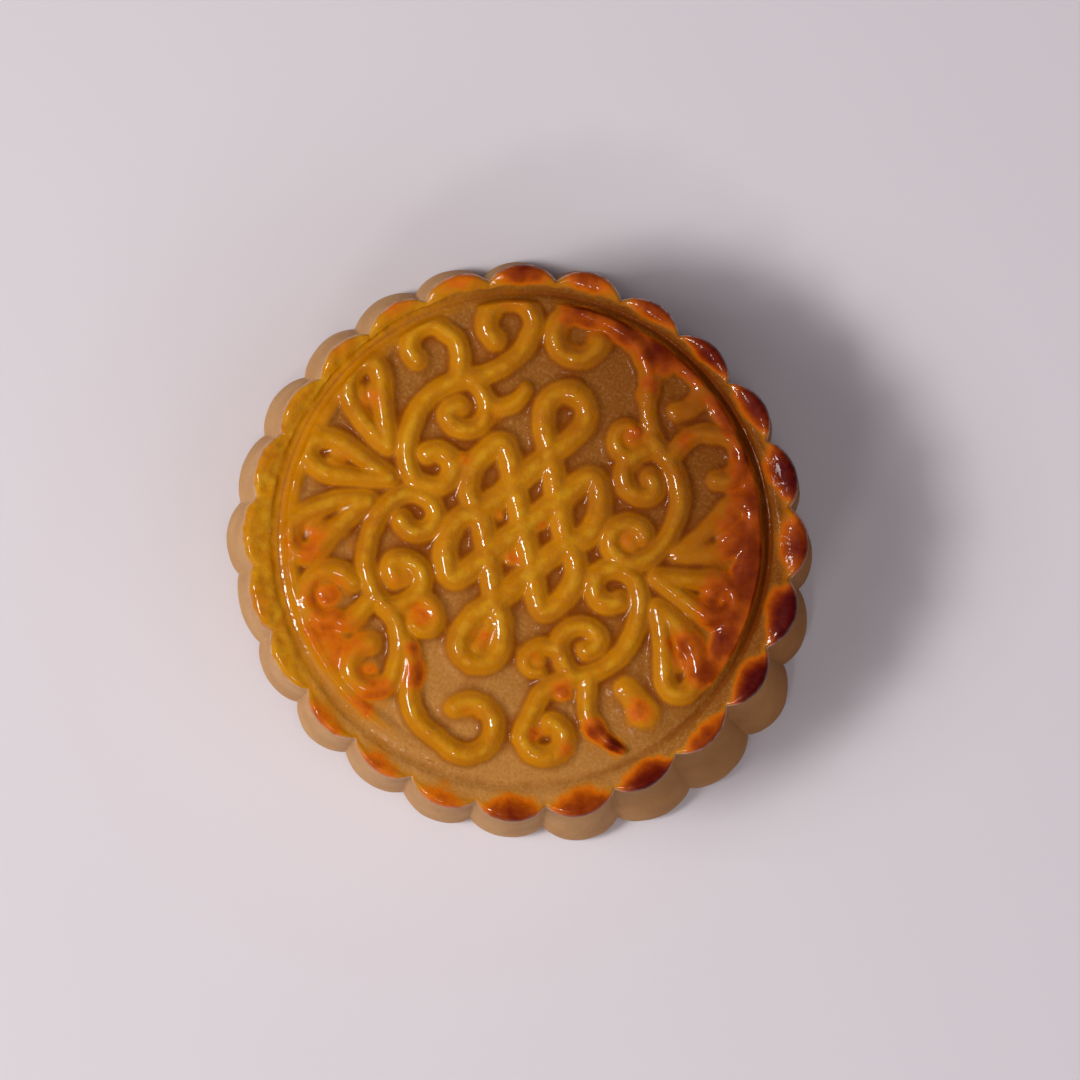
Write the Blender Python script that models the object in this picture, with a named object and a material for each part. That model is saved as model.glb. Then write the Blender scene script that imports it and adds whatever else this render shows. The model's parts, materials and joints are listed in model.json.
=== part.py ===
"""A whole baked mooncake: a round cake with a fluted side, pressed in a carved mould.

The cake is one solid. It stands on its flat base with the origin at the middle of the base and +Z up.
The body is a stack of fluted rings. The flat field on top carries the pressed relief: an endless knot
in the middle, vines with curls around it, hooks and a large curl at each end, and petals at the sides.
"""

import math

import bmesh
import bpy
from mathutils import Vector

MM = 0.001

# Driving dimensions, in millimetres and degrees.
FLUTES = 24
COLUMNS_PER_FLUTE = 5
RIM_RADIUS = 37.0
FLUTE_DEPTH = 1.9
FLUTE_ARC_RADIUS = 6.4
FLUTE_PHASE = 4.2
FLUTE_DRIFT = 2.3
FLUTE_DRIFT_FROM = -23.0
RIM_FOUR_SIDED = 0.55
RIM_OVAL = 0.25
RIM_TURN = 20.5
RIM_CREST_HEIGHT = 32.3
BAND_HEIGHT = 31.7
FOOT_FLARE = 2.6
FOOT_SLUMPS = [(335.0, 3.8), (185.0, 0.6), (140.0, 1.2)]
FOOT_SLUMP_SPREAD = 30.0
FOOT_DRAWN_IN = 0.4
WAIST_HEIGHT = 19.0
NARROWEST_BAND = 0.4
GROOVE_RADIUS = 32.8
GROOVE_HALF_WIDTH = 0.7
GROOVE_FLOOR = 30.7
GROOVE_SHIFT = (-0.4, 0.7)
FIELD_HEIGHT = 31.1
BORDER_WIDTH = 1.3
BORDER_RISE = 0.3
PATTERN_SHIFT = (-1.0, 2.0)
STROKE_WIDTH = 2.7
STROKE_RAISE = 0.3
STROKE_REACH = 30.4
CAP_WELD = 0.01
ARC_STEP = 50.0
KNOT_PITCH = (3.0, 4.95)
KNOT_END = 19.3
KNOT_END_LOOP = (2.8, 16.0)

CRUST_COLOUR = (0.45, 0.21, 0.03, 1.0)
CRUST_ROUGHNESS = 0.38


def clear_scene():
    for item in list(bpy.data.objects):
        bpy.data.objects.remove(item, do_unlink=True)


def flute_columns():
    """Angle of each column of points, and how deep in its flute it lies: 1 in the valleys and 0 on the lobes."""
    pitch = 360.0 / FLUTES
    full_sag = lobe_sag(RIM_RADIUS * math.radians(pitch / 2))
    columns = []
    for flute in range(FLUTES):
        for step in range(COLUMNS_PER_FLUTE):
            across = (step / COLUMNS_PER_FLUTE - 0.5) * pitch
            even = FLUTE_PHASE + flute * pitch + across
            drift = FLUTE_DRIFT * math.sin(math.radians(even - FLUTE_DRIFT_FROM))
            columns.append((even + drift, lobe_sag(RIM_RADIUS * math.radians(across)) / full_sag))
    return columns


def lobe_sag(offset):
    """Drop of a lobe's round face at a distance to the side of its tip, in mm."""
    return FLUTE_ARC_RADIUS - math.sqrt(FLUTE_ARC_RADIUS**2 - offset**2)


def rim_radius(angle):
    """The lobes' tip radius: the cake is a little four-sided and a little oval."""
    turn = math.radians(angle - RIM_TURN)
    return RIM_RADIUS + RIM_FOUR_SIDED * math.cos(4 * turn) + RIM_OVAL * math.cos(2 * turn)


def band_reach(angle):
    """How far the inner edge of the rim's band lies from the axis."""
    turn = math.radians(angle)
    shift = GROOVE_SHIFT[0] * math.cos(turn) + GROOVE_SHIFT[1] * math.sin(turn)
    return GROOVE_RADIUS + GROOVE_HALF_WIDTH + shift


def foot_reach(angle):
    """How far the foot stands out past the rim: it has slumped on three sides, most on one of them."""
    reach = FOOT_FLARE - FOOT_DRAWN_IN
    for towards, slump in FOOT_SLUMPS:
        away = (angle - towards + 180.0) % 360.0 - 180.0
        reach += slump * math.exp(-((away / FOOT_SLUMP_SPREAD) ** 2))
    return reach


def side_profile():
    """Rings up the side and over the rim: height, radius past the rim's, share of the foot, flute depth."""
    return [
        (0.0, -1.2, 1.0, FLUTE_DEPTH),
        (1.2, -0.1, 1.0, FLUTE_DEPTH),
        (3.6, 0.0, 1.0, FLUTE_DEPTH),
        (8.0, -0.2, 0.6, FLUTE_DEPTH),
        (WAIST_HEIGHT, -0.4, 0.1, FLUTE_DEPTH),
        (27.5, -0.1, 0.0, FLUTE_DEPTH),
        (30.2, 0.0, 0.0, FLUTE_DEPTH),
        (31.7, -0.7, 0.0, 0.9 * FLUTE_DEPTH),
        (RIM_CREST_HEIGHT, -1.5, 0.0, 0.6 * FLUTE_DEPTH),
    ]


def medallion_profile():
    """Rings of the band, the groove and the border round the field: height and radius."""
    return [
        (BAND_HEIGHT, GROOVE_RADIUS + GROOVE_HALF_WIDTH),
        (GROOVE_FLOOR, GROOVE_RADIUS),
        (FIELD_HEIGHT + BORDER_RISE, GROOVE_RADIUS - GROOVE_HALF_WIDTH),
        (FIELD_HEIGHT, GROOVE_RADIUS - GROOVE_HALF_WIDTH - BORDER_WIDTH),
    ]


def ring_points():
    """Every ring of the body from the base to the field, as lists of points in mm."""
    columns = flute_columns()
    rings = []
    for height, past_rim, foot_share, depth in side_profile():
        ring = []
        for angle, drop in columns:
            radius = rim_radius(angle) + past_rim + foot_share * foot_reach(angle)
            radius = max(radius - depth * drop, band_reach(angle) + NARROWEST_BAND)
            turn = math.radians(angle)
            ring.append(Vector((radius * math.cos(turn), radius * math.sin(turn), height)))
        rings.append(ring)
    for height, radius in medallion_profile():
        ring = []
        for angle, _ in columns:
            turn = math.radians(angle)
            x = GROOVE_SHIFT[0] + radius * math.cos(turn)
            y = GROOVE_SHIFT[1] + radius * math.sin(turn)
            ring.append(Vector((x, y, height)))
        rings.append(ring)
    return rings


def make_body(material):
    """The fluted cake with a plain field: rings of points joined by bands of faces, capped at both ends."""
    shape = bmesh.new()
    rings = [[shape.verts.new(point * MM) for point in ring] for ring in ring_points()]
    columns = len(rings[0])
    for lower, upper in zip(rings, rings[1:]):
        for k in range(columns):
            after = (k + 1) % columns
            shape.faces.new((lower[k], lower[after], upper[after], upper[k]))
    shape.faces.new(list(reversed(rings[0])))
    shape.faces.new(rings[-1])
    bmesh.ops.recalc_face_normals(shape, faces=shape.faces)
    mesh = bpy.data.meshes.new("mooncake")
    shape.to_mesh(mesh)
    shape.free()
    mesh.materials.append(material)
    mesh.shade_smooth()
    mesh.set_sharp_from_angle(angle=math.radians(35))
    body = bpy.data.objects.new("mooncake", mesh)
    bpy.context.scene.collection.objects.link(body)
    return body


def arc(centre, radius, start, sweep, end_radius=None):
    """Points along an arc, or a spiral where end_radius differs, one about every ARC_STEP degrees."""
    if end_radius is None:
        end_radius = radius
    steps = max(2, round(abs(sweep) / ARC_STEP))
    points = []
    for k in range(steps + 1):
        share = k / steps
        turn = math.radians(start + sweep * share)
        reach = radius + (end_radius - radius) * share
        points.append((centre[0] + reach * math.cos(turn), centre[1] + reach * math.sin(turn)))
    return points


def knot_half():
    """One of the knot's two mirrored strands: it runs on the diagonals of a lattice and turns round at its corners."""
    steps = [(0, 2.1), (-1, 1.05), (-2, 0.1), (-2.8, -0.45), (-2.8, -1.4), (-2, -1.9), (-1, -0.95)]
    lattice = [(KNOT_PITCH[0] * i, KNOT_PITCH[1] * j) for i, j in steps]
    half = [(0.0, KNOT_END), KNOT_END_LOOP] + lattice
    turned = [(-u, -v) for u, v in reversed(half)]
    return half + [(0.0, 0.0)] + turned


def quadrant_strokes():
    """The strokes that each quarter of the pattern repeats: name, points from root to tip, and tip bulb ratio."""
    vine = arc((10.7, 8.0), 8.5, 86.0, -138.0, 8.7)
    lower_curl = arc((13.8, 3.3), 2.5, -95.0, -225.0, 2.2)
    upper_curl = [(13.4, 16.3)] + arc((12.7, 11.9), 3.5, 115.0, 250.0, 1.6)
    leaf = [(10.0, 13.2), (8.3, 13.9), (6.6, 14.8), (6.1, 16.2), (6.4, 17.4)]
    hook = [(13.0, 16.6), (11.0, 18.3), (9.2, 21.2)] + arc((12.0, 24.8), 3.2, 180.0, -235.0, 2.9)
    branch = [(15.3, 15.3), (16.0, 18.0)] + arc((20.6, 17.9), 3.4, 140.0, -215.0, 3.0)
    return [
        ("vine", vine + lower_curl, 1.1),
        ("upper_curl", upper_curl, 1.1),
        ("leaf", leaf, 1.1),
        ("hook", hook, 1.1),
        ("branch", branch, 1.05),
    ]


def petal_outline(root, tip, half_width):
    """A closed teardrop from its pointed root to its round end, as points in order."""
    along = Vector(tip) - Vector(root)
    side = Vector((-along.y, along.x)).normalized() * half_width
    spans = [(0.45, 0.62), (0.75, 1.0), (0.95, 0.55)]
    right = [Vector(root) + along * t - side * w for t, w in spans]
    left = [Vector(root) + along * t + side * w for t, w in reversed(spans)]
    return [tuple(Vector(root))] + [tuple(p) for p in right + left]


def top_curl():
    """The tighter of the two large end curls."""
    return [(8.8, 24.4), (6.9, 27.2), (3.4, 29.3)] + arc((-2.2, 26.7), 3.1, 80.0, 285.0, 3.0)


def bottom_curl():
    """The wider end curl, which lies half a turn round from the tighter one."""
    return [(7.6, 22.4), (6.7, 25.4), (4.0, 28.6)] + arc((-2.4, 26.8), 3.8, 75.0, 250.0, 3.2)


def kept_inside(points):
    """The points with those that pass the border drawn in to it."""
    middle = Vector(GROOVE_SHIFT) - Vector(PATTERN_SHIFT)
    kept = []
    for point in points:
        spoke = Vector(point) - middle
        reach = min(spoke.length, STROKE_REACH)
        kept.append(tuple(middle + spoke.normalized() * reach))
    return kept


def round_off(points, bulb):
    """The points with their widths, ending in a rounded tip just past the last one."""
    last = Vector(points[-1])
    heading = (last - Vector(points[-2])).normalized() * STROKE_WIDTH * 0.4
    tip = tuple(last + heading)
    widths = [1.0] * (len(points) - 1) + [bulb, 0.55]
    return points + [tip], widths


def make_stroke(name, points, widths, closed=False):
    """A raised stroke of the relief: a six-sided tube that stands more than half out of the field."""
    curve = bpy.data.curves.new(name, "CURVE")
    curve.dimensions = "3D"
    curve.twist_mode = "Z_UP"
    curve.bevel_depth = STROKE_WIDTH / 2 * MM
    curve.bevel_resolution = 1
    curve.resolution_u = 2
    curve.use_fill_caps = True
    spline = curve.splines.new("BEZIER")
    spline.bezier_points.add(len(points) - 1)
    spline.use_cyclic_u = closed
    for knot, (u, v), width in zip(spline.bezier_points, kept_inside(points), widths):
        knot.co = Vector((u + PATTERN_SHIFT[0], v + PATTERN_SHIFT[1], FIELD_HEIGHT + STROKE_RAISE)) * MM
        knot.handle_left_type = "AUTO"
        knot.handle_right_type = "AUTO"
        knot.radius = width
    return curve


def add_relief_piece(collection, curve):
    """The curve as a mesh object that the body is joined with, kept out of renders."""
    holder = bpy.data.objects.new(curve.name, curve)
    mesh = bpy.data.meshes.new_from_object(holder)
    mesh.name = curve.name
    bpy.data.objects.remove(holder)
    shape = bmesh.new()
    shape.from_mesh(mesh)
    bmesh.ops.remove_doubles(shape, verts=shape.verts, dist=CAP_WELD * MM)
    shape.to_mesh(mesh)
    shape.free()
    piece = bpy.data.objects.new(curve.name, mesh)
    piece.hide_render = True
    piece.display_type = "WIRE"
    collection.objects.link(piece)


def make_relief():
    """All strokes of the relief in one collection."""
    collection = bpy.data.collections.new("relief")
    bpy.context.scene.collection.children.link(collection)
    for side in (1, -1):
        strand = [(side * u, v) for u, v in knot_half()]
        add_relief_piece(collection, make_stroke("knot", strand, [1.0] * len(strand)))
        curl = top_curl() if side > 0 else bottom_curl()
        curl, widths = round_off([(side * u, side * v) for u, v in curl], 1.1)
        add_relief_piece(collection, make_stroke("big_curl", curl, widths))
        petal = petal_outline((side * 20.2, 0.0), (side * 30.6, 0.0), 2.3)
        add_relief_piece(collection, make_stroke("petal", petal, [1.0] * len(petal), closed=True))
        for end in (1, -1):
            petal = petal_outline((side * 21.2, end * 4.6), (side * 27.4, end * 13.6), 2.0)
            add_relief_piece(collection, make_stroke("petal", petal, [1.0] * len(petal), closed=True))
            for name, points, bulb in quadrant_strokes():
                placed = [(side * u, end * v) for u, v in points]
                placed, widths = round_off(placed, bulb)
                add_relief_piece(collection, make_stroke(name, placed, widths))
    return collection


def crust_material():
    material = bpy.data.materials.new("baked_crust")
    material.use_nodes = True
    shader = material.node_tree.nodes["Principled BSDF"]
    shader.inputs["Base Color"].default_value = CRUST_COLOUR
    shader.inputs["Roughness"].default_value = CRUST_ROUGHNESS
    shader.inputs["Metallic"].default_value = 0.0
    return material


def main():
    clear_scene()
    body = make_body(crust_material())
    union = body.modifiers.new("relief", "BOOLEAN")
    union.operation = "UNION"
    union.solver = "EXACT"
    union.operand_type = "COLLECTION"
    union.collection = make_relief()


main()
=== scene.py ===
# %% [markdown]
# # A baked mooncake
#
# This lesson builds the finished look of one whole mooncake. The frame gives the cake's true size and
# place. On top of it we turn a fine round blank, flute its side, press the carved pattern into its top,
# and then bake it: the colour, the egg glaze and the crumb come from one procedural material.

# %% Load the frame
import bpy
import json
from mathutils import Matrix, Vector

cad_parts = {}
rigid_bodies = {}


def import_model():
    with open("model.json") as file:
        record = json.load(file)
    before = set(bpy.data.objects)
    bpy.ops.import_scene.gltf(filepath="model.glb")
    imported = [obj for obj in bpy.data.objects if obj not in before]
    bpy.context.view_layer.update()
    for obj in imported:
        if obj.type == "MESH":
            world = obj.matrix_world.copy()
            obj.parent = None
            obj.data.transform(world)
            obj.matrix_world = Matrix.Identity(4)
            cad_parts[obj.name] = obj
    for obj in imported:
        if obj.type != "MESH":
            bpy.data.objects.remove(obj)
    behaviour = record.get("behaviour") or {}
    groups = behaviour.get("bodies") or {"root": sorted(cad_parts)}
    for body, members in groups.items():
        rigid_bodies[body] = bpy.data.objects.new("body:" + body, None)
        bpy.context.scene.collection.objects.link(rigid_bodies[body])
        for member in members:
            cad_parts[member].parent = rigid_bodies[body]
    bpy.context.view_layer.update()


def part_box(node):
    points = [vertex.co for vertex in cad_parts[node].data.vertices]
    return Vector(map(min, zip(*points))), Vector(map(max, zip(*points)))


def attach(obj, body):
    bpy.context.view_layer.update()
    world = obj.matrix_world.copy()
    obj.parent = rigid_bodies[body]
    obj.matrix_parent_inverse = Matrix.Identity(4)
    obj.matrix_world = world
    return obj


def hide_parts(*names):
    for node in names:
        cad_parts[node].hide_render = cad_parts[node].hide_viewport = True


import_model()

low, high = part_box("mooncake")
print("The frame's cake spans, in mm:", [round(1000 * side, 1) for side in high - low])

# %% [markdown]
# ## The camera and the plain studio
#
# The cake is seen from almost straight above with a long lens, a little off the vertical, so a sliver
# of the fluted side shows on one side only. We place the camera first, because everything else is judged
# through it. A long lens could also be imitated with an orthographic camera, but then the side would
# vanish altogether, so a real perspective from 0.8 m is kept.

# %% Place the camera
import json
import math

import bpy
import numpy as np
from mathutils import Matrix, Vector, noise

MM = 0.001
VIEW_TURN = math.radians(20.5)
view_right = Vector((math.cos(VIEW_TURN), math.sin(VIEW_TURN), 0.0))
view_up = Vector((-math.sin(VIEW_TURN), math.cos(VIEW_TURN), 0.0))
CAMERA_HEIGHT = 800 * MM
LENS = 192.0

camera_data = bpy.data.cameras.new("long_lens")
camera_data.lens = LENS
camera_data.sensor_width = 36.0
camera_data.clip_start = 0.01
camera = bpy.data.objects.new("camera", camera_data)
bpy.context.scene.collection.objects.link(camera)

camera_place = view_right * -16.1 * MM + view_up * -29.0 * MM
camera_place.z = CAMERA_HEIGHT
camera_aim = view_right * 2.8 * MM + view_up * 1.8 * MM
back = (camera_place - camera_aim).normalized()
across = view_up.cross(back).normalized()
upward = back.cross(across)
facing = Matrix((across, upward, back)).transposed().to_4x4()
camera.matrix_world = Matrix.Translation(camera_place) @ facing
bpy.context.scene.camera = camera
lean = math.degrees(back.angle(Vector((0, 0, 1))))
print("The camera leans off the vertical by", round(lean, 1), "degrees")

# %% [markdown]
# ## The floor and the light
#
# A pale table top is enough of a set, and four square lights do the rest. The main light is a soft box
# low on the left, which draws long soft shadows to the right, and a weak one fills them from the other
# side. Mirrored in the egg glaze, lamps as large as these would wash its colour out, so both are hidden
# from reflections. Two small lamps are left visible there, and they draw the thin sharp glints along the
# flanks of the pattern. One lamp could do both jobs, but a soft shadow needs a large lamp and a thin
# glint a small one. A bright sky would mirror itself in the glaze too, so the world stays almost dark.

# %% Build the floor and the lights
FLOOR_SIZE = 3.0


def deselect_all():
    """Clears the selection, so that an operator acts only on what is made next."""
    if bpy.context.mode != "OBJECT":
        bpy.ops.object.mode_set(mode="OBJECT")
    bpy.ops.object.select_all(action="DESELECT")


deselect_all()
bpy.ops.mesh.primitive_plane_add(size=FLOOR_SIZE, location=(0, 0, low.z))
floor = bpy.context.object
floor.name = "table_top"
floor_finish = bpy.data.materials.new("matt_white_table")
floor_finish.use_nodes = True
floor_shader = floor_finish.node_tree.nodes["Principled BSDF"]
floor_shader.inputs["Base Color"].default_value = (0.725, 0.69, 0.73, 1.0)
floor_shader.inputs["Roughness"].default_value = 0.55
floor_shader.inputs["Specular IOR Level"].default_value = 0.15
floor.data.materials.append(floor_finish)


def add_soft_box(name, direction, distance, size, power, colour):
    """A square area light that faces the cake from a direction in the view: right, up and towards us."""
    place = (view_right * direction[0] + view_up * direction[1]
             + Vector((0, 0, direction[2]))).normalized() * distance
    light_data = bpy.data.lights.new(name, "AREA")
    light_data.size = size
    light_data.energy = power
    light_data.color = colour
    light = bpy.data.objects.new(name, light_data)
    bpy.context.scene.collection.objects.link(light)
    light.location = place
    light.rotation_euler = place.to_track_quat("Z", "Y").to_euler()
    return light


main_light = add_soft_box("main_light", (-0.92, -0.10, 1.30), 0.90, 0.40, 2.8, (1.0, 0.97, 0.97))
main_light.visible_glossy = False
add_soft_box("glint_light", (-0.92, -0.16, 1.38), 0.90, 0.17, 3.1, (1.0, 0.97, 0.95))
add_soft_box("near_glint_light", (-0.45, -0.85, 1.45), 0.90, 0.11, 0.6, (1.0, 0.97, 0.95))
low_light = add_soft_box("low_light", (0.55, -0.50, 1.30), 0.80, 0.60, 1.3, (1.0, 0.97, 0.98))
low_light.visible_glossy = False

world = bpy.data.worlds.new("dim_room")
world.use_nodes = True
world.node_tree.nodes["Background"].inputs["Color"].default_value = (0.98, 0.89, 1.0, 1.0)
world.node_tree.nodes["Background"].inputs["Strength"].default_value = 0.105
bpy.context.scene.world = world
bpy.context.scene.view_settings.view_transform = "Standard"

# %% [markdown]
# ## The round blank
#
# A mooncake is dough wrapped round a filling and pressed in a fluted mould. Before the mould's pattern
# shows, it is a plain round blank, so we start there: a circle of points, extruded ring by ring across
# the groove, over the rim and down the side, as a potter would pull a wall. The Spin tool would turn
# the same profile, but extruding keeps one clean loop at the field, which Grid Fill then closes with
# even little squares. Even squares matter, because the pattern is pressed into them later.

# %% Turn the blank
FLUTES = 24
POINTS_PER_FLUTE = 36
POINTS_AROUND = FLUTES * POINTS_PER_FLUTE
FIELD_HEIGHT = 31.1
FIELD_RADIUS = 32.1
PROFILE = [
    (FIELD_RADIUS, FIELD_HEIGHT, 1), (32.45, 30.85, 2), (32.8, 30.5, 2), (33.15, 30.55, 2),
    (33.5, 31.15, 3), (34.1, 31.65, 2), (34.9, 31.8, 2), (35.6, 32.1, 2), (36.2, 32.3, 2),
    (36.7, 32.0, 2), (36.98, 31.4, 2), (36.95, 30.5, 3), (36.7, 29.0, 5), (36.55, 25.0, 6),
    (36.7, 19.0, 5), (37.3, 13.0, 5), (38.4, 7.8, 3), (39.2, 4.6, 2), (39.6, 2.8, 2),
    (39.6, 1.4, 2), (39.2, 0.5, 2), (38.4, 0.05, 1), (37.6, 0.0, 0),
]


def smooth_through(points, counts):
    """Points along a smooth curve through the given ones, with a count of steps for each stretch."""
    known = np.array([points[0]] + list(points) + [points[-1]], float)
    curve = []
    for k, count in enumerate(counts):
        before, start, end, after = known[k:k + 4]
        for t in np.arange(count) / count:
            curve.append(0.5 * (2 * start + (end - before) * t
                                + (2 * before - 5 * start + 4 * end - after) * t**2
                                + (3 * start - before - 3 * end + after) * t**3))
    curve.append(known[-1])
    return np.array(curve)


profile = smooth_through([step[:2] for step in PROFILE], [step[2] for step in PROFILE[:-1]])

deselect_all()
bpy.ops.mesh.primitive_circle_add(vertices=POINTS_AROUND, radius=FIELD_RADIUS * MM,
                                  location=(0, 0, FIELD_HEIGHT * MM))
cake = bpy.context.object
cake.name = "mooncake_crust"
bpy.ops.object.transform_apply(location=True, rotation=True, scale=True)
bpy.ops.object.mode_set(mode="EDIT")
bpy.ops.mesh.select_all(action="SELECT")
for (radius, height), (next_radius, next_height) in zip(profile, profile[1:]):
    bpy.ops.mesh.extrude_edges_move(TRANSFORM_OT_translate={"value": (0, 0, (next_height - height) * MM)})
    growth = next_radius / radius
    bpy.ops.transform.resize(value=(growth, growth, 1), center_override=(0, 0, 0))
bpy.ops.mesh.edge_face_add()
bpy.ops.object.mode_set(mode="OBJECT")
print("The blank has", len(profile), "rings of", POINTS_AROUND, "points")

# %% [markdown]
# ## Close the top with even squares
#
# Grid Fill turns the open circle into a net of squares. It leaves them pinched near four corners of the
# circle, so Smooth Vertices relaxes the net before anything is pressed into it.

# %% Fill the field
RELAXING = 30


def coordinates(mesh):
    """The mesh's points as an array, in mm."""
    flat = np.empty(3 * len(mesh.vertices))
    mesh.vertices.foreach_get("co", flat)
    return flat.reshape(-1, 3) / MM


def select_edges(mesh, chosen):
    """Selects the points marked in chosen, and the edges between two of them."""
    ends = np.empty(2 * len(mesh.edges), int)
    mesh.edges.foreach_get("vertices", ends)
    mesh.vertices.foreach_set("select", chosen)
    mesh.edges.foreach_set("select", chosen[ends.reshape(-1, 2)].all(axis=1))
    mesh.polygons.foreach_set("select", np.zeros(len(mesh.polygons), bool))


points = coordinates(cake.data)
open_edge = np.hypot(points[:, 0], points[:, 1]) < FIELD_RADIUS + 0.01
select_edges(cake.data, open_edge)
bpy.ops.object.mode_set(mode="EDIT")
bpy.ops.mesh.fill_grid(span=POINTS_AROUND // 4)
bpy.ops.mesh.select_less()
bpy.ops.mesh.vertices_smooth(factor=0.5, repeat=RELAXING)
bpy.ops.mesh.select_all(action="SELECT")
bpy.ops.mesh.normals_make_consistent(inside=False)
bpy.ops.mesh.faces_shade_smooth()
bpy.ops.object.mode_set(mode="OBJECT")
print("The blank has", len(cake.data.polygons), "faces")

# %% [markdown]
# ## The fluted side and the rim
#
# The mould has 24 round flutes that meet in sharp valleys. Each lobe is an arc of a circle in plan, so
# its depth follows from the circle's formula. Dough is never as even as its mould: the lobes drift round
# a little, each stands out a little more or less, the whole cake is slightly four-sided, and the foot has
# slumped outward, most on one side. Moving the points by these rules keeps all of that in a few named
# sizes. A lattice or sculpting by hand could do it too, but would not be repeatable.

# %% Flute the side
FLUTE_DEPTH = 1.9
LEAST_DEPTH_SHARE = 0.55
LOBE_RADIUS = 6.4
FLUTE_PHASE = 4.2
FLUTE_DRIFT = 2.3
FLUTE_DRIFT_FROM = -23.0
RIM_RADIUS = 37.0
BAND_RADIUS = 33.6
BAND_WIDTH = 3.3
TOP_FROM = 30.0
PITCH = 360.0 / FLUTES
OUT_OF_ROUND = [(4, 20.5, 0.55), (2, 20.5, 0.25), (1, 80.0, 0.3)]
FOOT_SLUMPS = [(335.0, 30.0, 3.8), (140.0, 30.0, 1.2), (185.0, 30.0, 0.6)]
FOOT_TUCK = 0.4


def ramp(values, start, end):
    """0 before start, 1 after end, and a soft step between them."""
    t = np.clip((values - start) / (end - start), 0.0, 1.0)
    return t * t * (3.0 - 2.0 * t)


def lobe_sag(offset):
    """How far a lobe's round face has dropped at a distance to the side of its tip."""
    return LOBE_RADIUS - np.sqrt(LOBE_RADIUS**2 - offset**2)


def uneven(index, seed):
    """A number between -1 and 1 for each lobe that looks random but is the same on every run."""
    return np.sin(index * 12.9898 + seed * 78.233) * np.cos(index * 4.137 + seed * 3.71)


def bulge(angles, towards, spread):
    """A rounded swelling round the cake, 1 at its middle."""
    away = (angles - towards + 180.0) % 360.0 - 180.0
    return np.exp(-((away / spread) ** 2))


def bulges(angles, rows, start=0.0):
    """Several swellings added up. Each row gives one's direction, its spread and its size."""
    total = start
    for towards, spread, size in rows:
        total = total + size * bulge(angles, towards, spread)
    return total


points = coordinates(cake.data)
reach = np.hypot(points[:, 0], points[:, 1])
angle = np.degrees(np.arctan2(points[:, 1], points[:, 0]))
height = points[:, 2].copy()
lobe = np.floor(angle / PITCH)
sideways = (angle / PITCH - lobe - 0.5) * 2.0
half_chord = RIM_RADIUS * math.radians(PITCH / 2)
valley = lobe_sag(half_chord * np.abs(sideways)) / lobe_sag(half_chord)

turned = angle + FLUTE_PHASE - PITCH / 2
turned = turned + FLUTE_DRIFT * np.sin(np.radians(turned - FLUTE_DRIFT_FROM)) * ramp(reach, 15.0, 30.0)
outer = np.where(height > TOP_FROM, np.clip((reach - BAND_RADIUS) / BAND_WIDTH, 0.0, 1.0), 1.0)
outer = np.where(height < 0.2, ramp(reach, 30.0, RIM_RADIUS), outer)
foot = 1.0 - ramp(height, 2.5, 15.0)
out_of_round = sum(size * np.cos(np.radians(sides * (turned - towards)))
                   for sides, towards, size in OUT_OF_ROUND)
slump = bulges(turned, FOOT_SLUMPS)
lobe_size = 0.16 * uneven(lobe, 1) + 0.35 * uneven(lobe, 2) * foot
soft_side = bulge(turned, 190.0, 45.0)
depth = FLUTE_DEPTH * (1.0 - (1.0 - LEAST_DEPTH_SHARE) * soft_side)
stands_out = out_of_round + (slump - FOOT_TUCK) * foot + lobe_size * (1 - valley) - depth * valley
moved = reach + outer * stands_out
print("Lobe tips reach", round(float(moved[height > 31.0].max()), 1), "mm and the foot",
      round(float(moved.max()), 1), "mm")

# %% [markdown]
# ## The groove and the lobes' caps
#
# A narrow groove parts the field from the rim. It is deep where the dough stood up well and nearly gone
# where it slumped. Outside it runs a flat band, and on each lobe sits a low cap shaped like a lens, which
# is where the oven browns the crust first.

# %% Shape the rim
GROOVE_SHIFT = (-0.4, 0.7)
GROOVE_LEVEL = 31.2
GROOVE_OUTER_EDGE = 33.55
GROOVE_LEAST = 0.25
GROOVE_DEEPENS = [(35.0, 62.0, 1.0), (110.0, 30.0, 0.2)]
BAND_LEVEL = 31.2
CAP_RISE = 0.35
CAP_INNER_EDGE = 34.5
CAP_CURVE = 1.7
VALLEY_DROP = 0.45

groove_strength = bulges(turned, GROOVE_DEEPENS, GROOVE_LEAST)
in_groove = (reach > FIELD_RADIUS) & (reach < GROOVE_OUTER_EDGE)
in_groove &= (height > TOP_FROM) & (height < GROOVE_LEVEL)
height[in_groove] = GROOVE_LEVEL - (GROOVE_LEVEL - height[in_groove]) * groove_strength[in_groove]

cap_inner_edge = CAP_INNER_EDGE + CAP_CURVE * sideways**2
on_rim = ramp(height, 29.5, 31.2)
cap = ramp(reach, cap_inner_edge - 0.4, cap_inner_edge + 0.7) * on_rim * (1.0 - sideways**4)
height += CAP_RISE * (cap - 0.6 * ramp(reach, 34.2, 36.2) * on_rim) * (1.0 - 0.4 * soft_side)
lip = ramp(reach, 34.4, 36.4) * on_rim
height -= VALLEY_DROP * valley * lip * (1.0 - 0.4 * soft_side)
height += 0.15 * uneven(lobe, 3) * lip
rim_left = (RIM_RADIUS + out_of_round - depth * valley - BAND_RADIUS) / (RIM_RADIUS - BAND_RADIUS)
rise = np.where((height > BAND_LEVEL) & (reach > 33.3), height - BAND_LEVEL, 0.0)
height -= rise * (1.0 - np.clip(rim_left, 0.1, 1.0) ** 0.8)

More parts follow.
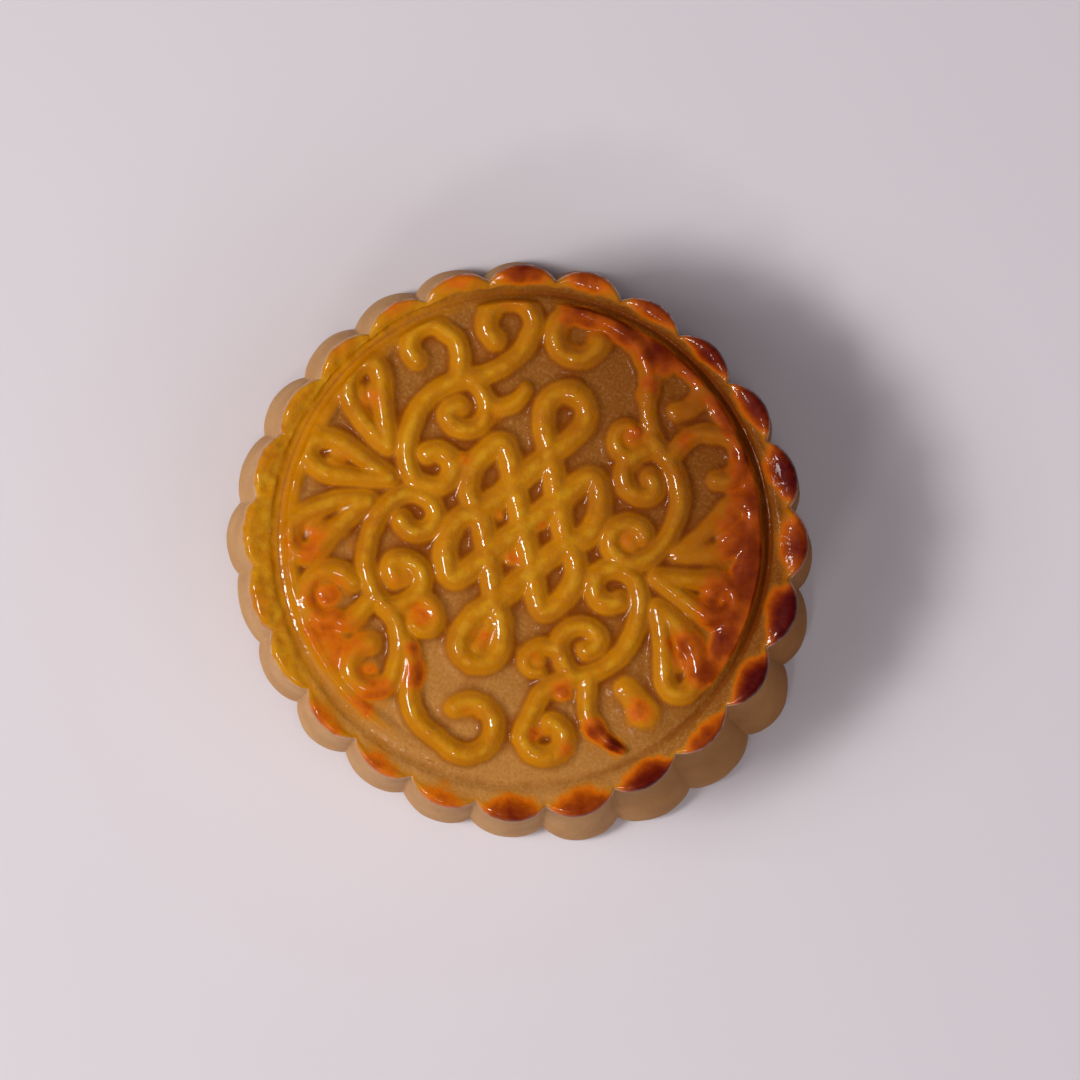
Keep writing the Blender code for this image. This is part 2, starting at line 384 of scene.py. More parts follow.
on_top = np.where(height > TOP_FROM, 1.0 - ramp(reach, 33.4, 35.4), 0.0)
x = moved * np.cos(np.radians(turned)) + GROOVE_SHIFT[0] * on_top
y = moved * np.sin(np.radians(turned)) + GROOVE_SHIFT[1] * on_top
fluted = np.column_stack([x, y, height])
print("The groove's floor is", round(float(height[in_groove].min()), 2), "mm up at its deepest")

# %% [markdown]
# ## The carved pattern as strokes
#
# The mould's carving is a set of strokes of one width: an endless knot in the middle, and round it vines,
# curls, hooks and petals, repeated in four quarters. Each stroke is described by its centre line. A few
# points give the slow bends and arcs give the curls. The vines, curls and petals are drawn once and
# mirrored. The hooks and branches came out of the mould differently in each quarter, so each has its own
# arc.

# %% Draw the centre lines
STROKE_HALF_WIDTH = 1.36
STROKE_HEIGHT = 1.35
PATTERN_SHIFT = (-1.0, 2.0)
KNOT_LATTICE = np.array((3.0, 4.95))
QUARTERS = [(1, 1), (-1, 1), (-1, -1), (1, -1)]


def arc(centre, radius, start, sweep, end_radius=None):
    """Points along an arc, or along a spiral where end_radius differs, one every twenty degrees or so."""
    count = max(3, int(abs(sweep) / 20.0))
    share = np.linspace(0.0, 1.0, count + 1)
    bend = np.radians(start + sweep * share)
    out = radius + ((radius if end_radius is None else end_radius) - radius) * share
    return [(centre[0] + r * math.cos(b), centre[1] + r * math.sin(b)) for r, b in zip(out, bend)]


def knot_strand():
    """One of the knot's two mirrored strands, which runs along a lattice's diagonals and turns at its
    corners."""
    end_loop = [(-0.1, 19.2), (1.5, 18.8), (2.6, 17.5), (2.75, 15.6), (1.7, 12.9)]
    steps = [(0, 2.12), (-1, 1.06), (-1.95, 0.1), (-2.75, -0.35), (-3.0, -0.92), (-2.75, -1.5),
             (-2.05, -1.92), (-1, -0.97)]
    half = end_loop + [tuple(KNOT_LATTICE * step) for step in steps]
    return half + [(0.0, 0.0)] + [(-u, -v) for u, v in reversed(half)]


VINE = [(12.2, 17.0), (13.6, 16.1), (15.3, 15.1), (17.0, 13.3), (18.4, 10.8), (18.8, 7.8), (18.4, 4.6),
        (17.0, 1.9), (15.3, 0.8)] + arc((13.8, 3.3), 2.5, -95.0, -225.0, 2.2)
CURL = ([(13.4, 16.3), (11.6, 15.2)] + arc((12.7, 12.1), 2.85, 145.0, 175.0, 2.6)
        + [(14.5, 11.5), (13.7, 12.3)])
LEAF_RING = [(9.8, 13.6), (7.8, 14.0), (6.7, 15.2), (6.6, 16.8), (7.7, 17.6), (9.0, 17.3)]
POINTED_LEAF = [(10.4, 14.2), (8.9, 13.9), (7.4, 14.7), (6.5, 16.0), (6.1, 17.6)]
HOOKS = [
    [(13.1, 16.7), (11.6, 18.3), (10.4, 20.2), (9.6, 22.2)] + arc((12.7, 24.8), 3.5, 182.0, -225.0, 3.2)
    + [(13.8, 21.7)],
    [(13.0, 16.6), (11.3, 18.0), (9.6, 20.0), (8.4, 22.2)] + arc((11.2, 25.1), 3.15, 188.0, -228.0)
    + [(12.3, 22.3)],
    [(13.0, 16.4), (11.3, 17.7), (10.2, 19.6), (9.5, 21.8)] + arc((12.3, 24.3), 3.0, 180.0, -242.0),
    [(13.0, 16.6), (11.2, 18.2), (10.0, 20.3)] + arc((12.8, 25.0), 3.2, 170.0, -260.0, 1.9),
]
BRANCHES = [
    [(15.1, 15.4), (16.2, 18.3), (17.8, 20.1)] + arc((21.0, 17.6), 3.3, 120.0, -160.0) + [(22.0, 15.0)],
    [(15.1, 15.6), (15.6, 18.0), (16.9, 20.2)] + arc((20.3, 18.4), 2.9, 120.0, -190.0, 2.4),
    [(15.5, 15.6), (16.4, 18.2), (17.6, 20.2)] + arc((20.8, 17.6), 3.2, 125.0, -250.0, 3.6),
    [(15.1, 15.4), (15.9, 18.0), (17.0, 20.4), (18.8, 21.9), (20.9, 22.8), (22.8, 23.2)],
]
SIDE_PETAL = [(20.7, 4.0), (22.4, 6.8), (23.9, 10.1), (25.0, 12.6), (26.6, 13.7), (28.3, 12.8),
              (28.8, 10.4), (27.5, 7.9), (25.1, 5.9), (22.6, 4.6), (20.7, 4.0)]
MIDDLE_PETAL = [(19.2, 0.0), (23.0, 1.2), (27.0, 2.3), (29.4, 1.7), (30.4, 0.0), (29.4, -1.7), (27.0, -2.3),
                (23.0, -1.2), (19.2, 0.0)]
TOP_CURL = ([(9.4, 22.6), (8.6, 25.2), (6.9, 27.3), (4.6, 28.8), (1.6, 29.6)]
            + arc((-2.2, 26.7), 3.05, 80.0, 285.0, 3.2))
BOTTOM_CURL = ([(9.2, 19.8), (7.4, 22.6), (6.8, 25.0), (5.6, 27.6), (3.4, 29.3), (0.8, 30.3)]
               + arc((-2.4, 27.3), 3.9, 75.0, 250.0, 3.0))
KNOT_SPUR = [(-11.3, 4.0), (-10.9, 5.4), (-10.5, 6.2)]
LOOSE_LUMP = [(20.5, -15.3), (22.2, -16.4), (23.8, -17.6)]
LOOP_FILLING = [(0.5, -13.6), (0.3, -15.3), (-0.1, -17.2)]
KNOT_WIDTH = 1.17


def mirrored(line, side, end):
    """A centre line moved to another quarter: side and end are 1 or -1."""
    return [(side * u, end * v) for u, v in line]


def pattern_strokes():
    """Every stroke: its centre line in mm from the knot's middle, its width and height beside a plain
    stroke's, and its width at the tip."""
    strokes = [(mirrored(knot_strand(), side, 1), KNOT_WIDTH, 1.0, KNOT_WIDTH) for side in (1, -1)]
    strokes.append((TOP_CURL, 1.0, 1.0, 1.15))
    strokes.append((mirrored(BOTTOM_CURL, -1, -1), 1.08, 1.0, 1.15))
    strokes.append((KNOT_SPUR, 1.0, 0.9, 0.4))
    strokes.append((LOOSE_LUMP, 1.4, 0.8, 1.7))
    strokes.append((LOOP_FILLING, 0.72, 0.72, 0.80))
    for side in (1, -1):
        strokes.append((mirrored(MIDDLE_PETAL, side, 1), 1.08, 0.95, 1.08))
    for number, (side, end) in enumerate(QUARTERS):
        leaf = POINTED_LEAF if number == 1 else LEAF_RING
        leaf_shift = 0.9 if number == 0 else 0.0
        smeared = 0.7 if number == 0 else 1.0
        branch_tip = 0.45 if number == 3 else 1.1
        quarter = [
            (VINE, 1.0, 1.0, 1.1),
            (CURL, 1.0, 1.0, 1.1),
            ([(u + leaf_shift, v) for u, v in leaf], 1.0, 0.9, 0.7),
            (HOOKS[number], 1.0, smeared, 1.15),
            (BRANCHES[number], 1.0, 0.95, branch_tip),
            (SIDE_PETAL, 1.1, smeared, 1.1),
        ]
        for line, width, rise, tip_width in quarter:
            strokes.append((mirrored(line, side, end), width, rise, tip_width))
    return strokes


def even_steps(points, step=0.12):
    """The smooth curve through the points, cut into even short steps."""
    rough = smooth_through(points, [8] * (len(points) - 1))
    length = np.concatenate([[0.0], np.cumsum(np.hypot(*np.diff(rough, axis=0).T))])
    where = np.linspace(0.0, length[-1], max(4, int(length[-1] / step)))
    return np.column_stack([np.interp(where, length, rough[:, k]) for k in (0, 1)]), where


print("The pattern has", len(pattern_strokes()), "strokes")

# %% [markdown]
# ## Press the pattern
#
# Each point of the field is raised by the strokes near it. A stroke is a rounded ridge, and where two
# meet the higher one wins softly, so that crossings run into each other as they do in baked dough.
# Boolean unions of tubes would leave hard creases there. Before pressing, slow noise shifts the pattern
# by a fraction of a millimetre, because no stroke of real dough has a ruled edge. Low round mounds, each
# given by its place, its radius and its share of a stroke's height, stand where dough pooled inside a curl
# or a petal, and a slit runs down each petal. At the field's edge a border rises where the dough filled
# the mould to the brim.

# %% Raise the strokes
SIDE_SLIT = [(23.9, 6.9), (25.3, 8.8), (26.8, 11.4)]
MIDDLE_SLIT = [(23.2, 0.0), (25.5, 0.1), (28.4, 0.0)]
SLIT_HALF_WIDTH = 0.5
SLIT_DEPTH = 0.34
STROKE_REACH = 1.8
MELT = 6
WOBBLE = 0.16
WOBBLE_SIZE = 5.0
BORDER_STANDS = [(178.0, 48.0, 1.0), (232.0, 28.0, 0.95), (62.0, 34.0, 0.9), (5.0, 24.0, 0.9)]
POOLS = [
    (9.3, 16.4, 1.5, 0.70), (14.0, 3.3, 1.7, 0.70), (-12.9, -11.6, 1.8, 0.70), (-8.2, -16.4, 2.2, 0.85),
    (8.2, -16.0, 1.3, 0.65), (-21.2, -17.4, 2.0, 0.55), (-12.5, -24.6, 1.6, 0.35), (12.7, -18.7, 1.4, 0.60),
    (1.4, -25.6, 1.6, 0.40), (11.2, -25.3, 1.0, 0.40), (26.0, 9.4, 2.6, 0.80),
    (-18.2, -24.2, 3.0, 0.65), (20.0, 23.4, 3.0, 0.40), (9.6, 27.2, 2.2, 0.65), (-0.1, -4.3, 1.4, 0.55),
    (29.8, -9.2, 1.8, 0.80),
    (25.6, 9.6, 2.0, 0.66), (-25.6, 9.6, 2.0, 0.66), (-25.6, -9.6, 2.0, 0.66), (25.6, -9.6, 2.0, 0.66),
    (26.6, 0.0, 1.8, 0.62), (-26.6, 0.0, 1.8, 0.62), (-3.4, 0.5, 0.8, 0.40), (-27.6, -17.0, 2.4, 0.45),
]


def slow_noise(places, size, seed):
    """Smooth noise between -1 and 1 at each place, with bumps of about the given size in mm."""
    return np.array([noise.noise(Vector((p[0] / size, p[1] / size, p[2] / size + seed))) for p in places])


def ridge(distance):
    """The cross-section of a stroke: 1 on its crest, round over the top, and a soft fillet at its foot."""
    t = np.clip(np.abs(distance), 0.0, STROKE_REACH)
    return np.exp(-0.95 * t**2.1) * (1.0 - ramp(t, 1.3, STROKE_REACH))


def distances(places, line):
    """How far each place lies from each point of a line."""
    return np.hypot(places[:, 0, None] - line[None, :, 0], places[:, 1, None] - line[None, :, 1])


def petal_slits():
    """The centre line of the slit in each petal."""
    middle_slits = [mirrored(MIDDLE_SLIT, side, 1) for side in (1, -1)]
    return middle_slits + [mirrored(SIDE_SLIT, side, end) for side, end in QUARTERS]


def press(places, lines):
    """The pattern's height above the field at each place, as a share of a stroke's height. Heights are
    added as a high power, so that the highest one wins and two equal ones melt together."""
    total = np.zeros(len(places))
    for line, width, rise, tip_width in lines:
        centre, along = even_steps(line)
        half = STROKE_HALF_WIDTH * (width + (tip_width - width) * ramp(along / along[-1], 0.5, 1.0))
        margin = STROKE_REACH * half.max()
        after = places > centre.min(axis=0) - margin
        before = places < centre.max(axis=0) + margin
        near = np.flatnonzero(np.all(after & before, axis=1))
        for part in np.array_split(near, len(near) // 4000 + 1):
            widths_away = (distances(places[part], centre) / half).min(axis=1)
            total[part] += (rise * ridge(widths_away)) ** MELT
    for u, v, size, level in POOLS:
        away = np.hypot(places[:, 0] - u, places[:, 1] - v)
        total += (level * np.exp(-((away / size) ** 2.6))) ** MELT
    pressed = total ** (1 / MELT)
    for line in petal_slits():
        slit = even_steps(line)[0]
        middle_of_slit = slit.mean(axis=0)
        near = np.flatnonzero(np.hypot(*(places - middle_of_slit).T) < 6.0)
        gap = distances(places[near], slit).min(axis=1)
        pressed[near] -= SLIT_DEPTH * np.exp(-((gap / SLIT_HALF_WIDTH) ** 2)) * pressed[near]
    return pressed


middle = np.array(PATTERN_SHIFT)
from_groove = np.hypot(fluted[:, 0] - GROOVE_SHIFT[0], fluted[:, 1] - GROOVE_SHIFT[1])
inside = (from_groove < FIELD_RADIUS + 0.2) & (fluted[:, 2] > TOP_FROM)
wobble = WOBBLE * np.column_stack([slow_noise(fluted[inside], WOBBLE_SIZE, seed) for seed in (3.0, 40.0)])
places = fluted[inside, :2] - middle + wobble
relief = np.zeros(len(fluted))
relief[inside] = press(places, pattern_strokes()) * (1.0 + 0.12 * slow_noise(fluted[inside], 7.0, 11.0))
relief *= 1.0 - ramp(from_groove, 31.4, 32.3)

around = np.degrees(np.arctan2(fluted[:, 1], fluted[:, 0]))
border = np.clip(bulges(around, BORDER_STANDS), 0.0, 1.0)
petal_side = bulge(around, 5.0, 25.0)
plateau = border * ramp(from_groove, 29.4 - 2.4 * petal_side, 31.0 - 1.6 * petal_side) * inside
plateau *= 1.0 - ramp(from_groove, 31.5, 32.3)
raised = (relief**4 + ((0.60 + 0.22 * petal_side) * plateau) ** 4) ** 0.25
fluted[:, 2] += STROKE_HEIGHT * raised
print("The pattern covers", round(100 * float((relief[inside] > 0.5).mean())), "% of the field")

# %% [markdown]
# ## Make the dough uneven
#
# Baked dough is lumpy on two scales: slow swells of a tenth of a millimetre, and small blisters, which
# crowd on the rim's band on the left and on the raised border. Both are moved points, along each point's
# normal, so that they show in the outline too. A Displace modifier would move them in the same way, but
# could not be told where the blisters crowd without a painted weight.

# %% Make the dough uneven
SWELL = 0.13
BLISTERS = 1.5

cake.data.vertices.foreach_set("co", (fluted * MM).ravel())
cake.data.update()
normals = np.empty(3 * len(cake.data.vertices))
cake.data.vertices.foreach_get("normal", normals)
normals = normals.reshape(-1, 3)
swell = slow_noise(fluted, 6.0, 5.0) + 0.45 * slow_noise(fluted, 2.2, 9.0)
left_band = np.clip(1.6 * bulge(around, 185.0, 48.0), 0.0, 1.0)
blistered = (left_band * ramp(from_groove, 32.4, 34.0) + 0.5 * plateau) * (fluted[:, 2] > 29.0)
swell += BLISTERS * blistered * slow_noise(fluted, 1.3, 21.0)
underneath = fluted[:, 2] < 0.3
uneven_points = fluted + normals * (SWELL * swell * ~underneath)[:, None]
cake.data.vertices.foreach_set("co", (uneven_points * MM).ravel())
cake.data.update()
print("The dough swells by up to", round(float(np.abs(SWELL * swell).max()), 2), "mm")

# %% [markdown]
# ## Where the glaze lies, where the oven browned it, and where shade is painted
#
# The look of the crust depends on place, so each point stores a few plain numbers. Egg wash was brushed
# over the top only. It stays thin on the crests, which turn golden, and gathers as amber in the hollows
# and along the feet of the strokes. That amber is partly the glaze's own colour and partly painted shade,
# the darkening that hollows and the feet of the strokes get from the light. How closed-in a place is
# follows from blurring the relief: in a narrow hollow the blurred height is large, in the open field it
# is small. The groove's floor is darkened in the same way by its depth. On the left the wash also ran
# over the rim's band, up to a thin bare line where the groove is. The highest crests get a number of
# their own, because the glaze is thinnest and palest there. The oven browned one side of the rim and a
# few high spots much more than the rest. The crust is also made darker all over towards that side, and
# the foot on that side carries painted shade, the shade of a side that faces away from the main light.
# Weight painting could set the same numbers by hand, but rules keep them tied to the shape.

# %% Mark the glaze, the browning and the painted shade
RASTER = 0.2
RASTER_REACH = 34.0
BLUR = 1.0
BROWNED = [
    (30.5, -4.2, 5.6, 0.62), (27.6, -0.2, 4.0, 0.52), (31.2, 3.6, 5.4, 0.62), (28.8, 8.6, 5.6, 0.58),
    (25.8, -7.6, 2.8, 0.62), (29.6, -9.4, 2.8, 0.62), (8.8, 28.5, 3.4, 0.76), (14.0, 29.2, 3.8, 0.66),
    (20.8, 24.8, 4.0, 0.66), (-2.0, 30.6, 4.4, 0.56), (3.6, 29.6, 3.6, 0.60), (-6.4, -23.4, 2.4, 0.58),
    (-7.8, -20.2, 1.9, 0.46), (21.6, -22.9, 1.9, 0.88), (18.6, -22.2, 2.2, 0.66),
    (-18.6, -23.0, 7.0, 0.40), (-11.5, -28.2, 4.6, 0.42), (11.3, -25.2, 1.5, 0.58),
    (23.0, -17.4, 2.2, 0.50), (-12.5, -24.7, 1.8, 0.44), (-22.0, -17.6, 4.0, 0.40),
    (9.6, 16.6, 2.2, 0.46), (-8.6, -15.6, 3.2, 0.42), (-26.5, -12.5, 5.0, 0.32), (0.1, -4.3, 1.5, 0.40),
    (27.8, 14.2, 4.2, 0.54), (31.4, 9.4, 4.4, 0.60), (25.4, 19.5, 4.2, 0.50), (-3.4, 0.5, 1.2, 0.36),
    (2.5, 1.0, 1.2, 0.38), (14.2, 3.4, 2.0, 0.28), (-12.9, -12.2, 2.2, 0.36), (12.8, -18.6, 2.4, 0.38),
    (7.6, -16.0, 2.0, 0.26), (0.2, -15.4, 2.0, 0.40), (1.6, -25.8, 2.0, 0.34), (-8.6, 13.2, 2.6, 0.30),
    (16.5, 18.5, 3.0, 0.32), (9.0, 24.0, 2.8, 0.38), (-2.2, 28.6, 4.0, 0.36), (-11.5, 28.4, 4.0, 0.28),
    (16.0, -25.5, 2.2, 0.32), (-26.0, 0.2, 2.6, 0.24), (-24.9, 9.0, 2.4, 0.27), (16.8, 13.5, 2.4, 0.24),
    (-10.6, 6.0, 1.6, 0.34),
]


def blurred_relief(at):
    """The pattern's height blurred over about a millimetre, read at each place."""
    steps = np.arange(-RASTER_REACH, RASTER_REACH, RASTER)
    grid_u, grid_v = np.meshgrid(steps, steps)
    flat = press(np.column_stack([grid_u.ravel(), grid_v.ravel()]), pattern_strokes())
    frequency = np.fft.fftfreq(len(steps), RASTER)
    soften = np.exp(-2.0 * (math.pi * BLUR) ** 2 * (frequency[:, None] ** 2 + frequency[None, :] ** 2))
    soft = np.fft.ifft2(np.fft.fft2(flat.reshape(grid_u.shape)) * soften).real
    column, row = (np.clip((at[:, k] + RASTER_REACH) / RASTER, 0, len(steps) - 2) for k in (0, 1))
    left, under = column.astype(int), row.astype(int)
    a, b = column - left, row - under
    return ((soft[under, left] * (1 - a) + soft[under, left + 1] * a) * (1 - b)
            + (soft[under + 1, left] * (1 - a) + soft[under + 1, left + 1] * a) * b)


def store(name, values):
    """Keeps one number for each point, for the material to read by name."""
    layer = cake.data.attributes.new(name, "FLOAT", "POINT")
    layer.data.foreach_set("value", np.clip(values, 0.0, 1.0))


pattern_place = fluted[:, :2] - middle
closed_in = np.zeros(len(fluted))
closed_in[inside] = blurred_relief(places)
glaze_reach = 1.0 - ramp(from_groove, 31.8, 32.6)
golden = ramp(raised, 0.15, 0.62) * glaze_reach
# Amber in the hollows and at the strokes' feet: partly pooled glaze, partly painted shade of closed-in
# places.
amber_glaze_and_shade = ramp(closed_in, 0.12, 0.55) * (1.0 - ramp(raised, 0.45, 0.95)) * glaze_reach
# The groove's floor turns amber by its depth: partly glaze pooled there, partly painted shade of a recess.
groove_share = np.where(in_groove, np.clip((GROOVE_LEVEL - height) / 0.7, 0.0, 1.0), 0.0)
amber_glaze_and_shade = np.maximum(amber_glaze_and_shade, groove_share)
band_gold = left_band * ramp(from_groove, 30.8, 31.8) * ramp(height, 28.5, 30.6)
groove_line = left_band * np.exp(-(((from_groove - 32.8) / 0.3) ** 2))

cap_strength = 0.58 + 0.42 * np.cos(np.radians(around - 12.0))
cap_tint = ramp(reach, cap_inner_edge - 2.0, cap_inner_edge + 1.2) * on_rim * (1.0 - sideways**4)
cap_brown = cap_tint * cap_strength * (1.1 - 0.35 * np.abs(sideways)) * (0.92 + 0.28 * uneven(lobe, 4))
left_rim = bulge(around, 175.0, 62.0)
ragged_height = height + 0.7 * slow_noise(fluted, 2.0, 31.0)
glaze_edge = ramp(ragged_height, 28.9, 31.2)
thin_glaze = 1.0 - 0.5 * bulge(around, 290.0, 40.0)
rim_gold = ramp(reach, 34.4 - 1.2 * left_rim, 36.0 - 1.6 * left_rim) * glaze_edge * thin_glaze
spots = np.zeros(len(fluted))
for u, v, size, level in BROWNED:
    away = np.hypot(pattern_place[:, 0] - u, pattern_place[:, 1] - v)
    spots += (level * np.exp(-((away / size) ** 2))) ** 4
spots = spots**0.25 * inside * (0.35 + 0.65 * ramp(raised, 0.0, 0.5))
pale = ramp(-(fluted[:, 1] + 0.35 * fluted[:, 0]), 2.0, 26.0)

to_the_right = fluted[:, 0] * view_right.x + fluted[:, 1] * view_right.y
downward = -fluted[:, 0] * view_up.x - fluted[:, 1] * view_up.y
# Darker all over towards one side.
darker_side = ramp(to_the_right - 0.5 * downward, 2.0, 34.0)
# Painted shade on the foot's side that faces away from the main light.
painted_foot_shade = 0.8 * bulge(around, 338.0, 34.0) * (1.0 - ramp(height, 18.0, 31.0))
high_crests = ramp(raised, 0.72, 1.0) * glaze_reach
left_crests = left_band * ramp(from_groove, 32.4, 34.4) * on_rim

store("golden", np.maximum(np.maximum(golden, rim_gold), band_gold) * (1.0 - 0.55 * groove_line))
store("amber_glaze_and_shade", np.maximum(amber_glaze_and_shade, 0.8 * groove_line))
# One number for the darker tint towards one side and the painted shade on the foot; the caps are spared the
# tint.
store("darker_side", np.maximum(darker_side * (1.0 - 0.8 * cap_tint), painted_foot_shade))
store("crest", np.maximum(high_crests, left_crests))
store("browned", np.maximum(spots, cap_brown))
store("pale", pale)
store("side", 1.0 - ramp(ragged_height, 27.0, 30.6))
print("Glaze covers", round(100 * float((golden[inside] > 0.5).mean())), "% of the field")

# %% [markdown]
# ## The baked crust
#
# One Principled shader carries the whole crust. Its colour is built in layers, as on the real cake: dough,
# amber glaze in the hollows, golden glaze on the crests, then browning from orange to nearly black red.
# The amber also stands for painted shade in the hollows and at the feet of the strokes. Last, a darker
# tint towards one side, which holds painted shade on the foot there too, is multiplied over them all.
# Noise breaks up every border between two layers, so that none looks airbrushed. The glaze is a coat, and
# its strength follows the same marks. The coat has a Bump node of its own with slow ripples, as wet wash
# dries in waves that break a glint up, while the crumb under it has a finer bump, because moving points
# could not hold such fine grain. A painted image could give the same look, but could not be resized
# without blurring.

# %% Bake the crust
crust = bpy.data.materials.new("baked_crust")
crust.use_nodes = True
nodes = crust.node_tree.nodes
links = crust.node_tree.links
shader = nodes["Principled BSDF"]


def socket(thing):
    """Lets a node stand for its first output."""
    return thing.outputs[0] if hasattr(thing, "outputs") else thing


def feed(slot, value):
    """Joins a node or an output to an input, or sets the input to a plain value."""
    if hasattr(value, "outputs") or hasattr(value, "links"):
        links.new(socket(value), slot)
    else:
        slot.default_value = value


def mark(name):
    """Reads one of the numbers that the points store."""
    node = nodes.new("ShaderNodeAttribute")
    node.attribute_name = name
    node.label = name
    return node.outputs["Fac"]


def math_node(operation, first, second=0.0, third=0.0):
    """One sum of shader values. The result isn't held to any range."""
    node = nodes.new("ShaderNodeMath")
    node.operation = operation
    for slot, value in zip(node.inputs, (first, second, third)):
        feed(slot, value)
    return node


def spread(value, low_end, high_end, low_result=0.0, high_result=1.0):
    """Stretches a range of values to another range, held at its ends."""
    node = nodes.new("ShaderNodeMapRange")
    for slot, setting in zip(node.inputs, (value, low_end, high_end, low_result, high_result)):
        feed(slot, setting)
    return node


def blend(share, first, second, way="MIX"):
    """One colour laid over another, or multiplied into it."""
    node = nodes.new("ShaderNodeMix")
    node.data_type = "RGBA"
    node.blend_type = way
    feed(node.inputs["Factor"], share)
    feed(node.inputs["A"], first)
    feed(node.inputs["B"], second)
    return node.outputs["Result"]


def grain(size, detail, roughness=0.5):
    """Noise with grains of about the given size in mm, fixed to the cake."""
    node = nodes.new("ShaderNodeTexNoise")
    links.new(place.outputs["Object"], node.inputs["Vector"])
    node.inputs["Scale"].default_value = 1.0 / (size * MM)
    node.inputs["Detail"].default_value = detail
    node.inputs["Roughness"].default_value = roughness
    return node.outputs["Fac"]


place = nodes.new("ShaderNodeTexCoord")
mottle = grain(5.0, 3.0)
blotch = grain(1.6, 3.0)
crumb = grain(0.45, 2.0, 0.6)
sparkle = grain(0.9, 4.0, 0.6)
ripple = grain(0.8, 1.0)

PALE_DOUGH = (0.47, 0.205, 0.042, 1.0)
DOUGH = (0.31, 0.112, 0.015, 1.0)
SIDE_DOUGH = (0.62, 0.34, 0.135, 1.0)
# Amber: the pooled glaze's colour, also used as painted shade in the hollows.
AMBER = (0.22, 0.048, 0.0003, 1.0)
GOLD = (0.55, 0.20, 0.0006, 1.0)
DEEP_GOLD = (0.40, 0.118, 0.0006, 1.0)
CREST_GOLD = (0.64, 0.325, 0.010, 1.0)
PALE_CRUMB = (0.56, 0.31, 0.12, 1.0)
DARK_CRUMB = (0.20, 0.060, 0.006, 1.0)
DEEP_SIDE_DOUGH = (0.46, 0.215, 0.075, 1.0)
# Multiplied in towards one side, and as painted shade on the foot there.
DARKER_SIDE_AND_FOOT_SHADE = (0.60, 0.46, 0.30, 1.0)

uneven_glaze_and_shade = spread(math_node("ADD", mark("amber_glaze_and_shade"), spread(blotch, 0.3, 0.7, -0.18, 0.18)), 0.05, 0.95)
uneven_gold = spread(math_node("ADD", mark("golden"), spread(blotch, 0.3, 0.7, -0.12, 0.12)), 0.08, 0.80)
top_dough = blend(mark("pale"), DOUGH, PALE_DOUGH)
flecked = blend(spread(crumb, 0.50, 0.72, 0.0, 0.32), top_dough, PALE_CRUMB)
flecked = blend(spread(crumb, 0.48, 0.30, 0.0, 0.22), flecked, DARK_CRUMB)
# Amber laid over the dough: pooled glaze and painted shade in the hollows.
colour = blend(uneven_glaze_and_shade, flecked, AMBER)
gold = blend(spread(mottle, 0.42, 0.62, 0.0, 0.55), GOLD, DEEP_GOLD)
thin_spots = math_node("MULTIPLY", mark("crest"), spread(blotch, 0.40, 0.62, 0.0, 0.6))
gold = blend(thin_spots, gold, CREST_GOLD)
colour = blend(uneven_gold, colour, gold)
side_colour = blend(spread(mottle, 0.35, 0.65, 0.0, 0.5), SIDE_DOUGH, DEEP_SIDE_DOUGH)
colour = blend(mark("side"), colour, side_colour)

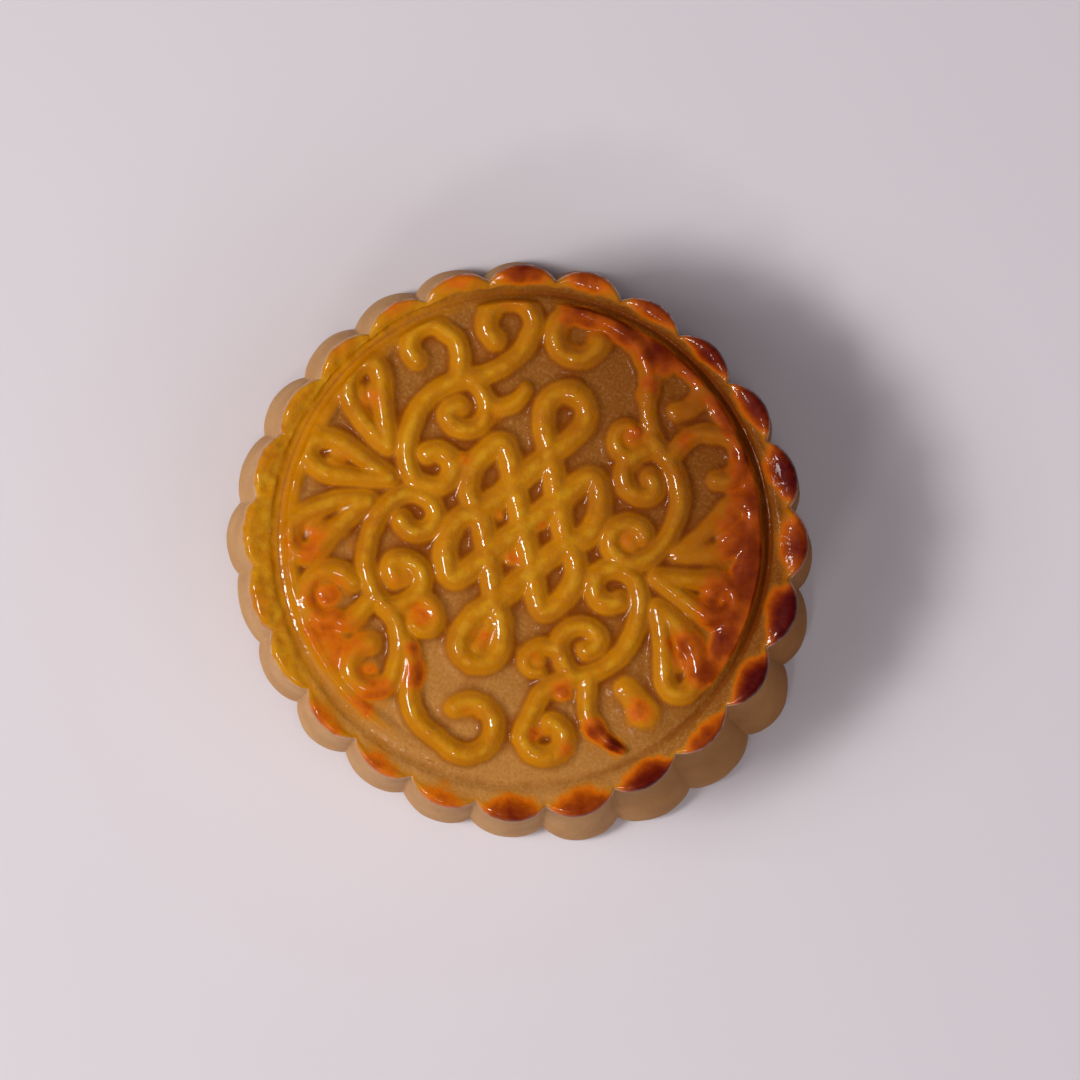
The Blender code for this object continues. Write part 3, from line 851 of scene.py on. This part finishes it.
browning = math_node("ADD", mark("browned"), spread(mottle, 0.3, 0.7, -0.09, 0.09))
browning = math_node("ADD", browning, spread(blotch, 0.3, 0.7, -0.07, 0.07))
browned = nodes.new("ShaderNodeValToRGB")
feed(browned.inputs["Fac"], browning)
BROWNING_STEPS = [
    (0.16, GOLD),
    (0.36, (0.62, 0.135, 0.0012, 1.0)),
    (0.56, (0.33, 0.052, 0.0010, 1.0)),
    (0.76, (0.17, 0.014, 0.0008, 1.0)),
    (0.96, (0.075, 0.0015, 0.0008, 1.0)),
]
for number, (position, step_colour) in enumerate(BROWNING_STEPS):
    stop = browned.color_ramp.elements[number] if number < 2 else browned.color_ramp.elements.new(position)
    stop.position = position
    stop.color = step_colour
colour = blend(spread(browning, 0.12, 0.34), colour, browned.outputs["Color"])
# The darker tint towards one side, with the painted foot shade, multiplied over the whole colour.
colour = blend(mark("darker_side"), colour, DARKER_SIDE_AND_FOOT_SHADE, "MULTIPLY")
feed(shader.inputs["Base Color"], colour)

glossy = math_node("MAXIMUM", mark("golden"), math_node("MULTIPLY", mark("amber_glaze_and_shade"), 0.35))
dulled = spread(mark("browned"), 0.3, 0.9, 1.0, 0.35)
wet = math_node("MULTIPLY", spread(sparkle, 0.40, 0.52, 0.10, 1.0), dulled)
feed(shader.inputs["Roughness"], spread(glossy, 0.0, 0.8, 0.60, 0.42))
feed(shader.inputs["Coat Weight"], math_node("MULTIPLY", wet, spread(glossy, 0.1, 0.8, 0.08, 1.0)))
shader.inputs["Coat Roughness"].default_value = 0.05
shader.inputs["Specular IOR Level"].default_value = 0.06
shader.inputs["Subsurface Weight"].default_value = 0.12
shader.inputs["Subsurface Radius"].default_value = (1.0, 0.35, 0.08)
shader.inputs["Subsurface Scale"].default_value = 1.2 * MM

crumb_height = math_node("MULTIPLY", crumb, spread(glossy, 0.0, 0.8, 1.0, 0.3))
bump = nodes.new("ShaderNodeBump")
bump.inputs["Strength"].default_value = 0.6
bump.inputs["Distance"].default_value = 0.10 * MM
feed(bump.inputs["Height"], math_node("MULTIPLY_ADD", sparkle, 1.6, crumb_height))
feed(shader.inputs["Normal"], bump.outputs["Normal"])
glaze_bump = nodes.new("ShaderNodeBump")
glaze_bump.inputs["Strength"].default_value = 0.7
glaze_bump.inputs["Distance"].default_value = 0.09 * MM
feed(glaze_bump.inputs["Height"], ripple)
feed(shader.inputs["Coat Normal"], glaze_bump.outputs["Normal"])

cake.data.materials.clear()
cake.data.materials.append(crust)
print("The crust's material has", len(nodes), "nodes")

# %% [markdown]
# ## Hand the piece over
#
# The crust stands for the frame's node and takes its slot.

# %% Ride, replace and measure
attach(cake, "root")
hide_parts("mooncake")
print("Triangles:", sum(len(face.vertices) - 2 for face in cake.data.polygons))
